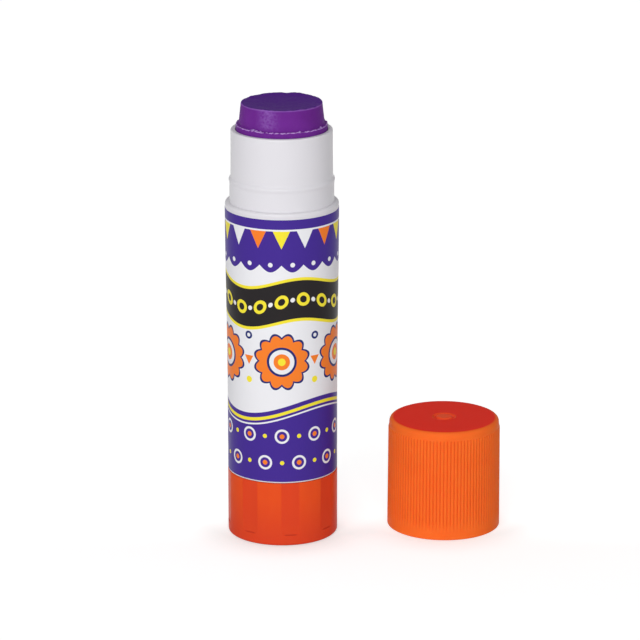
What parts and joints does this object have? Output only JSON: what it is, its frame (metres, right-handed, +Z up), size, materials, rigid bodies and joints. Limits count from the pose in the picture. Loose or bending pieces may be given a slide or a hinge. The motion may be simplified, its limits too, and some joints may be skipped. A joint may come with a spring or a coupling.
{
  "type": "glue stick",
  "caption": "Twist-up glue stick with a keyed carrier on a coarse screw, and its ribbed push-on cap standing beside it.",
  "frame": {"origin": "on the stick's axis, on the flat face of the base that it stands on", "axes": "+Z up along the stick towards the glue, +X from the stick towards the cap, +Y away from the viewer of the picture"},
  "size_m": [0.0502, 0.0239, 0.0802],
  "materials": {
    "white_plastic": "satin",
    "label_film": "semi-gloss printed film",
    "base_plastic": "gloss",
    "screw_plastic": "satin",
    "carrier_plastic": "satin",
    "glue": "waxy",
    "cap_plastic": "satin"
  },
  "bodies": {
    "stick": {"barrel": "white_plastic", "label": "label_film"},
    "base": {"twist_base": "base_plastic", "lift_screw": "screw_plastic"},
    "glue": {"glue_column": "glue", "glue_carrier": "carrier_plastic"},
    "cap": {"cap": "cap_plastic"}
  },
  "joints": [
    {"name": "base_twist", "type": "hinge", "parent": "stick", "child": "base", "pos_m": [0, 0, 0], "axis": [0, 0, 1], "range_deg": [-198, 1800]},
    {"name": "glue_lift", "type": "slide", "parent": "stick", "child": "glue", "axis": [0, 0, 1], "range_m": [-0.00221, 0.02001]},
    {"name": "cap_lift", "type": "slide", "parent": "stick", "child": "cap", "axis": [0, 0, 1], "range_m": [0, 0.08]}
  ],
  "couplings": [
    {"joint": "glue_lift", "follows": "base_twist", "m_per_rad": 0.00063662}
  ]
}
